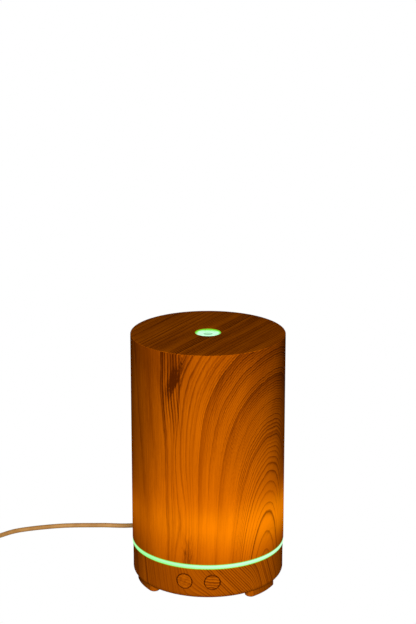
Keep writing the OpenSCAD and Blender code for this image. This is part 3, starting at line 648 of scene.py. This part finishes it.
def make_circuit_board(name):
    """Solder mask over copper tracks, with tinned round pads and a woven base showing faintly."""
    paint = Paint(name)
    x, y, z = paint.position()
    lane = (x * 0.36 + z * 0.36).fract()
    turn = paint.noise(x * 0.12, y * 0.12, z * 0.12, detail=0.0)
    track = (lane - 0.5).abs().ramp(0.30, 0.34) * turn.ramp(0.42, 0.46)
    pads = paint.cells(x, y, z, 0.28).ramp(0.20, 0.24, 1.0, 0.0)
    weave = paint.noise(x * 3.0, y * 3.0, z * 3.0, detail=1.0)
    mask = paint.blend(track * 0.7, (0.012, 0.115, 0.04), (0.03, 0.22, 0.075))
    tint = paint.blend(pads, mask, (0.62, 0.63, 0.62))
    return paint.finish(
        tint, weave * 0.1 + 0.3, paint.bump(track + pads * 1.5, 0.02), Metallic=pads * 0.9
    )


def make_copper_winding():
    """Enamelled copper wire wound in close turns."""
    paint = Paint("copper_winding")
    x, y, z = paint.position()
    turns = ((z / COPPER_WIRE_D).fract() - 0.5).abs() * 2.0
    hue = paint.noise(x * 0.6, y * 0.6, z * 2.0, detail=2.0)
    bright = paint.blend(hue, (0.78, 0.3, 0.11), (0.6, 0.19, 0.06))
    # Painted shade in the creases where neighbouring turns meet
    tint = paint.blend(turns.ramp(0.6, 1.0), bright, (0.12, 0.03, 0.01))
    return paint.finish(tint, hue * 0.15 + 0.2, paint.bump(turns * -1.0, 0.08), Metallic=0.9)


def make_piezo_disc():
    """Brass disc with a pale ceramic face in its middle."""
    paint = Paint("piezo_brass")
    low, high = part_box("transducer_disc")
    centre = (low + high) / 2 * TO_MM
    x, y, z = paint.position()
    dx, dy = x - centre.x, y - centre.y
    radius = (dx * dx + dy * dy).sqrt()
    rings = paint.noise(radius * 4.0, 0.0, detail=1.0)
    grain = paint.noise(x * 3.0, y * 3.0, z * 3.0, detail=3.0)
    brass = paint.blend(grain, (0.78, 0.56, 0.2), (0.66, 0.45, 0.15))
    bare = radius.ramp(CERAMIC_R, CERAMIC_R + 0.3)
    tint = paint.blend(bare, (0.72, 0.7, 0.64), brass)
    return paint.finish(tint, rings * 0.15 + 0.25, paint.bump(rings, 0.01), Metallic=bare)


def make_lit_ring():
    """Frosted ring lit from behind: pale green in the middle of its height, green at its edges."""
    paint = Paint("lit_ring")
    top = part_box("light_ring")[1].z * TO_MM
    x, y, z = paint.position()
    lamp = (x.atan2(y) * LAMP_COUNT).cos() * 0.5 + 0.5
    cloud = paint.noise(x * 0.25, y * 0.25, z * 0.25, detail=2.0)
    middle = z.ramp(top - 2.8, top - 2.2) * z.ramp(top - 0.45, top, 1.0, 0.0)
    # Whiter towards the side with the brighter lamps, greener low down on the other
    white = x.ramp(-40.0, 25.0, 0.1, 0.75) + z.ramp(top - 2.2, top - 0.9, -0.25, 0.25)
    tint = paint.blend(middle, EDGE_GREEN, paint.blend(white, LED_GREEN, LED_WHITE))
    power = middle * 0.2 + lamp * 0.05 + cloud * 0.1 + 0.84
    return paint.finish(
        (0.1, 0.3, 0.12),
        cloud * 0.2 + 0.35,
        paint.bump(cloud, 0.02),
        Emission_Color=tint,
        Emission_Strength=power,
        Subsurface_Weight=0.3,
        Subsurface_Radius=(0.003, 0.003, 0.003),
    )


def lamp_share(paint):
    """Share of the lamps' light that still reaches a part as it is lifted away from them."""
    return paint.lift().ramp(2.0, 90.0, 1.0, 0.3)


def make_lit_outlet():
    """Translucent mist outlet: brightest on its face, darker green down its sides."""
    paint = Paint("lit_outlet")
    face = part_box("mist_outlet")[1].z * TO_MM
    x, y, z = paint.position()
    radius = (x * x + y * y).sqrt()
    cloud = paint.noise(x * 0.5, y * 0.5, z * 0.5, detail=3.0)
    streak = paint.noise(x.atan2(y) * 9.0, radius * 0.15, detail=2.0).ramp(0.42, 0.6)
    on_face = z.ramp(face - 0.25, face - 0.05)
    rim = x.abs().ramp(5.6, 7.5).max(y.ramp(4.0, 7.4, 0.0, 0.9))
    middle = paint.blend(cloud.ramp(0.3, 0.55), (0.36, 0.95, 0.46), (0.56, 1.0, 0.7))
    tint = paint.blend(rim * (streak * 0.3 + 0.7), middle, (0.13, 0.6, 0.02))
    power = on_face * cloud.ramp(0.3, 0.7, 0.54, 0.64) + 0.4
    return paint.finish(
        (0.2, 0.4, 0.24),
        cloud * 0.2 + 0.35,
        paint.bump(cloud, 0.02),
        Emission_Color=tint,
        Emission_Strength=power * lamp_share(paint),
    )


def make_lit_collar():
    """Cut edge of the cover round the mist opening, lit green from below."""
    paint = Paint("lit_collar")
    x, y, z = paint.position()
    cloud = paint.noise(x * 0.6, y * 0.6, z * 1.5, detail=3.0)
    streak = paint.noise(x.atan2(y) * 7.0, z * 0.4, 2.0, detail=2.0).ramp(0.54, 0.66)
    tint = paint.blend(streak, (0.13, 0.56, 0.012), (0.16, 0.2, 0.002))
    return paint.finish(
        (0.06, 0.12, 0.01),
        cloud * 0.2 + 0.4,
        paint.bump(cloud, 0.03),
        Emission_Color=tint,
        Emission_Strength=lamp_share(paint),
        Specular_IOR_Level=0.05,
    )


def make_led_lens():
    """Lit lens of the lamps, in pale plastic."""
    paint = Paint("led_lens")
    x, y, z = paint.position()
    grain = paint.noise(x * 2.0, y * 2.0, z * 2.0, detail=2.0)
    return paint.finish(
        (0.8, 0.84, 0.78),
        grain * 0.1 + 0.25,
        paint.bump(grain, 0.01),
        Emission_Color=LED_GREEN,
        Emission_Strength=1.4,
    )


def make_lead_tan(name, depth):
    """Soft cable jacket: tan, slightly glossy, with faint draw lines and handling marks."""
    paint = Paint(name)
    x, y, z = paint.position()
    draw = paint.noise(x * 0.7, y * 3.0, z * 3.0, detail=2.0)
    marks = paint.noise(x * 0.16, y * 0.16, z * 0.16, detail=4.0, rough=0.65)
    tint = paint.blend(marks.ramp(0.35, 0.7), (0.7, 0.36, 0.105), (0.56, 0.27, 0.07))
    return paint.finish(
        tint, draw * 0.15 + 0.4, paint.bump(draw, depth), Specular_IOR_Level=0.2
    )


def make_wire(name, colour):
    """Thin insulated wire with a slight sheen and faint ripples along it."""
    paint = Paint(name)
    x, y, z = paint.position()
    ripple = paint.noise(x * 1.4, y * 1.4, z * 1.4, detail=2.0)
    darker = tuple(part * 0.7 for part in colour)
    tint = paint.blend(ripple.ramp(0.4, 0.7), colour, darker)
    return paint.finish(tint, ripple * 0.15 + 0.32, paint.bump(ripple, 0.02))


def make_finishes():
    """A material for each material slot of the record."""
    return {
        "wood_print": make_base_wood(),
        "wood_print_under": make_foot_wood(),
        "lit_ring": make_lit_ring(),
        "tank_plastic": make_frosted_tank(),
        "lid_plastic": moulded("lid_plastic", (0.78, 0.78, 0.74), 0.4, Subsurface_Weight=0.15),
        "pad_rubber": rubber("pad_rubber", (0.05, 0.05, 0.052), 0.75, 0.03),
        "silicone": rubber("silicone", (0.62, 0.64, 0.61), 0.5, 0.012),
        "screw_steel": metal("screw_steel", (0.55, 0.56, 0.58), 0.28),
        "contact_metal": metal("contact_metal", (0.66, 0.66, 0.64), 0.22),
        "piezo_brass": make_piezo_disc(),
        "copper_winding": make_copper_winding(),
        "sink_aluminium": metal("sink_aluminium", (0.68, 0.69, 0.71), 0.4),
        "black_plastic": moulded("black_plastic", (0.022, 0.022, 0.025), 0.38, 0.015),
        "board_green": make_circuit_board("board_green"),
        "led_lens": make_led_lens(),
        "white_plastic": moulded("white_plastic", (0.74, 0.74, 0.7), 0.45),
        "lead_tan": make_lead_tan("lead_tan", 0.02),
        "wire_red": make_wire("wire_red", (0.42, 0.02, 0.015)),
        "wire_white": make_wire("wire_white", (0.68, 0.67, 0.62)),
        "wire_black": make_wire("wire_black", (0.02, 0.02, 0.022)),
        "wire_blue": make_wire("wire_blue", (0.03, 0.1, 0.42)),
    }


def dress_cad_nodes():
    """Gives each CAD node the material of its slot; a few nodes have their own."""
    finishes = make_finishes()
    own = {
        "mist_outlet": make_lit_outlet(),
        "light_button": make_button_wood("light_button", strength=0.45, tilt=0.27, mottle=0.2),
        "mist_button": make_button_wood("mist_button", strength=0.95, tilt=0.1, mottle=0.1),
    }
    for part in frame["record"]["subparts"]:
        finish = own.get(part["node"], finishes[part["material_slot"]])
        for slot in frame["nodes"][part["node"]].material_slots:
            slot.material = finish


# ---- Pieces ----


def new_piece(name, points, faces, materials, body):
    """A smooth-shaded mesh object that rides on a CAD body."""
    mesh = bpy.data.meshes.new(name)
    mesh.from_pydata([tuple(part * MM for part in point) for point in points], [], faces)
    mesh.shade_smooth()
    piece = bpy.data.objects.new(name, mesh)
    bpy.context.scene.collection.objects.link(piece)
    for material in materials:
        mesh.materials.append(material)
    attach(piece, body)
    return piece


def fillet(centre_r, centre_z, radius, start, end, steps=5):
    """Points of a rounded corner in a half section, between two angles from +r."""
    points = []
    for i in range(steps + 1):
        a = math.radians(start + (end - start) * i / steps)
        points.append((centre_r + radius * math.cos(a), centre_z + radius * math.sin(a)))
    return points


def turn_section(section, columns):
    """Points and faces of a closed half section turned about Z."""
    points, faces = [], []
    rows = len(section)
    for c in range(columns):
        a = 2 * math.pi * c / columns
        points += [(r * math.sin(a), -r * math.cos(a), z) for r, z in section]
    for c in range(columns):
        here, there = c * rows, (c + 1) % columns * rows
        for k in range(rows):
            up = (k + 1) % rows
            faces.append((here + k, there + k, there + up, here + up))
    return points, faces


# Cover: radius of the mist opening, thickness of the wall and of the top plate, and radii of its
# rounded upper edge, of the small rounding at its other edges and of its inner corner (mm)
OPENING_R = 8.1
COVER_WALL = 2.2
COVER_PLATE = 2.5
COVER_EDGE_R = 0.4
COVER_LIP_R = 0.15
COVER_CORNER_R = 1.5
# Number of rows up the side of the cover and of columns round it
COVER_ROWS = 24
COVER_COLUMNS = 288


def make_cover():
    """Printed cover: wall, top plate with the mist opening, and a plain inside."""
    low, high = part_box("top_cover")
    outer, bottom, top = high.x * TO_MM, low.z * TO_MM, high.z * TO_MM
    opening, edge, lip, corner = OPENING_R, COVER_EDGE_R, COVER_LIP_R, COVER_CORNER_R
    inner, under = outer - COVER_WALL, top - COVER_PLATE
    side_low, side_high = bottom + lip, top - edge
    side = [
        (outer, side_low + (side_high - side_low) * i / COVER_ROWS) for i in range(1, COVER_ROWS)
    ]
    section = (
        fillet(outer - lip, side_low, lip, -90, 0)
        + side
        + fillet(outer - edge, side_high, edge, 0, 90, 7)
        + [(outer - inward, top) for inward in (8, 20, 32)]
        + fillet(opening + lip, top - lip, lip, 90, 180)
        + [(opening, under)]
        + fillet(inner - corner, under - corner, corner, 90, 0)
        + [(inner, side_low)]
    )
    points, faces = turn_section(section, COVER_COLUMNS)
    inside = moulded("cover_inside", (0.7, 0.66, 0.56))
    materials = [make_cover_wood(), make_top_wood(), inside, make_lit_collar()]
    cover = new_piece("cover_print", points, faces, materials, "cover")
    for face in cover.data.polygons:
        middle = face.center * TO_MM
        radius = math.hypot(middle.x, middle.y)
        if radius > inner + 0.5 * COVER_WALL and middle.z < top - 0.5 * edge:
            face.material_index = 0
        elif middle.z > top - edge and radius > opening + 0.5 * lip:
            face.material_index = 1
        elif radius < opening + lip:
            face.material_index = 3
        else:
            face.material_index = 2
    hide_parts("top_cover")


# Lead: its radius, and the height of its middle line where it lies on the floor (mm)
LEAD_R = 1.55
LEAD_LOW = 1.75
# Middle line of the lead: from the barrel plug round behind the body and out to the left (mm)
LEAD_PATH = (
    (0.0, 65.85, 15.8),
    (-1.5, 71.5, 15.2),
    (-10.0, 76.4, 12.4),
    (-31.0, 75.0, 5.2),
    (-61.4, 70.2, LEAD_LOW),
    (-84.2, 67.6, LEAD_LOW),
    (-111.6, 62.8, LEAD_LOW),
    (-137.5, 51.9, LEAD_LOW),
    (-149.6, 40.4, LEAD_LOW),
    (-155.5, 31.0, 3.6),
    (-155.5, 25.0, 4.2),
    (-155.5, 18.0, 4.2),
)
# Steps of the lead's mesh between two points of its path, and its number of sides
LEAD_STEPS = 14
LEAD_SIDES = 28


def curve_between(before, start, end, after, t):
    """Point on the smooth curve from start to end."""
    return 0.5 * (
        2 * start
        + (end - before) * t
        + (2 * before - 5 * start + 4 * end - after) * t * t
        + (3 * start - before - 3 * end + after) * t**3
    )


def smooth_path(stations, steps):
    """Points of the smooth curve through all the stations."""
    stations = [Vector(station) for station in stations]
    last = len(stations) - 1
    path = []
    for i in range(last):
        around = [stations[min(max(i + k, 0), last)] for k in (-1, 0, 1, 2)]
        path += [curve_between(*around, k / steps) for k in range(steps)]
    return path + [stations[-1]]


def sweep_tube(path, radius, sides):
    """Points and faces of a round tube with flat ends along a path that is never upright."""
    points, faces = [], []
    for i, here in enumerate(path):
        ahead = (path[min(i + 1, len(path) - 1)] - path[max(i - 1, 0)]).normalized()
        side = Vector((0, 0, 1)).cross(ahead).normalized()
        up = ahead.cross(side)
        for k in range(sides):
            a = 2 * math.pi * k / sides
            points.append(here + (side * math.cos(a) + up * math.sin(a)) * radius)
    for i in range(len(path) - 1):
        for k in range(sides):
            a, b = i * sides + k, i * sides + (k + 1) % sides
            faces.append((a, b, b + sides, a + sides))
    first = tuple(range(sides))
    faces.append(first[::-1])
    faces.append(tuple(k + (len(path) - 1) * sides for k in first))
    return points, faces


def make_lead():
    """Supply lead: one smooth tube from the barrel plug to the USB plug."""
    points, faces = sweep_tube(smooth_path(LEAD_PATH, LEAD_STEPS), LEAD_R, LEAD_SIDES)
    jacket = make_lead_tan("lead_jacket", 0.03)
    lead = new_piece("supply_lead", points, faces, [jacket], "lead")
    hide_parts("power_lead")


# ---- Studio ----

# Brightness of the surroundings in reflections, and of their light on the object
REFLECTED_WHITE = 0.5
WORLD_LIGHT = 0.035
WORLD_TINT = (1.0, 0.98, 0.95, 1.0)
# Floor: half its side (m) and its grey for all rays but the camera's and reflections
FLOOR_HALF = 9.0
FLOOR_GREY = (0.2, 0.2, 0.2, 1.0)
# Key lamp: side of its square (m) and its power (W)
KEY_SIDE = 0.4
KEY_POWER = 12.5


def pale_surroundings(tree, other):
    """Shader that is white to the camera, pale in reflections and other to every other ray."""
    path = tree.nodes.new("ShaderNodeLightPath")
    for ray, brightness in (("Is Glossy Ray", REFLECTED_WHITE), ("Is Camera Ray", 1.0)):
        shown = tree.nodes.new("ShaderNodeEmission")
        shown.inputs["Color"].default_value = (1.0, 1.0, 1.0, 1.0)
        shown.inputs["Strength"].default_value = brightness
        mix = tree.nodes.new("ShaderNodeMixShader")
        tree.links.new(path.outputs[ray], mix.inputs[0])
        tree.links.new(other, mix.inputs[1])
        tree.links.new(shown.outputs[0], mix.inputs[2])
        other = mix.outputs[0]
    return other


def make_floor():
    """Plain pale floor that looks white to the camera."""
    mesh = bpy.data.meshes.new("floor")
    outline = [(x * FLOOR_HALF, y * FLOOR_HALF, 0) for x, y in ((-1, -1), (1, -1), (1, 1), (-1, 1))]
    mesh.from_pydata(outline, [], [(0, 1, 2, 3)])
    floor = bpy.data.objects.new("floor", mesh)
    bpy.context.scene.collection.objects.link(floor)
    material = bpy.data.materials.new("studio_floor")
    material.use_nodes = True
    tree = material.node_tree
    bsdf = tree.nodes["Principled BSDF"]
    bsdf.inputs["Base Color"].default_value = FLOOR_GREY
    bsdf.inputs["Specular IOR Level"].default_value = 0.0
    shown = pale_surroundings(tree, bsdf.outputs[0])
    tree.links.new(shown, tree.nodes["Material Output"].inputs["Surface"])
    mesh.materials.append(material)


def make_world():
    """Pale surroundings that give a weak, even light."""
    world = bpy.data.worlds.new("studio")
    world.use_nodes = True
    bpy.context.scene.world = world
    tree = world.node_tree
    dim = tree.nodes["Background"]
    dim.inputs["Color"].default_value = WORLD_TINT
    dim.inputs["Strength"].default_value = WORLD_LIGHT
    shown = pale_surroundings(tree, dim.outputs[0])
    tree.links.new(shown, tree.nodes["World Output"].inputs["Surface"])


def make_camera():
    """Camera that looks down on the front from slightly to the right."""
    data = bpy.data.cameras.new("camera")
    data.lens = CAMERA_LENS
    data.sensor_width = 36.0
    data.clip_start, data.clip_end = 0.01, 50.0
    camera = bpy.data.objects.new("camera", data)
    camera.location = CAMERA_AT
    camera.rotation_euler = (math.pi / 2 - CAMERA_DOWN, 0.0, CAMERA_TURN)
    bpy.context.scene.collection.objects.link(camera)
    bpy.context.scene.camera = camera


def add_key_light():
    """Soft square lamp at the camera, which it stays with, so every view is lit alike."""
    data = bpy.data.lights.new("key", "AREA")
    data.size = KEY_SIDE
    data.energy = KEY_POWER
    lamp = bpy.data.objects.new("key", data)
    lamp.parent = bpy.context.scene.camera
    bpy.context.scene.collection.objects.link(lamp)


def make_studio():
    """Floor, surroundings, camera and lamp, with colours shown as they are."""
    bpy.context.scene.view_settings.view_transform = "Standard"
    make_floor()
    make_world()
    make_camera()
    add_key_light()


dress_cad_nodes()
make_cover()
make_lead()
make_studio()
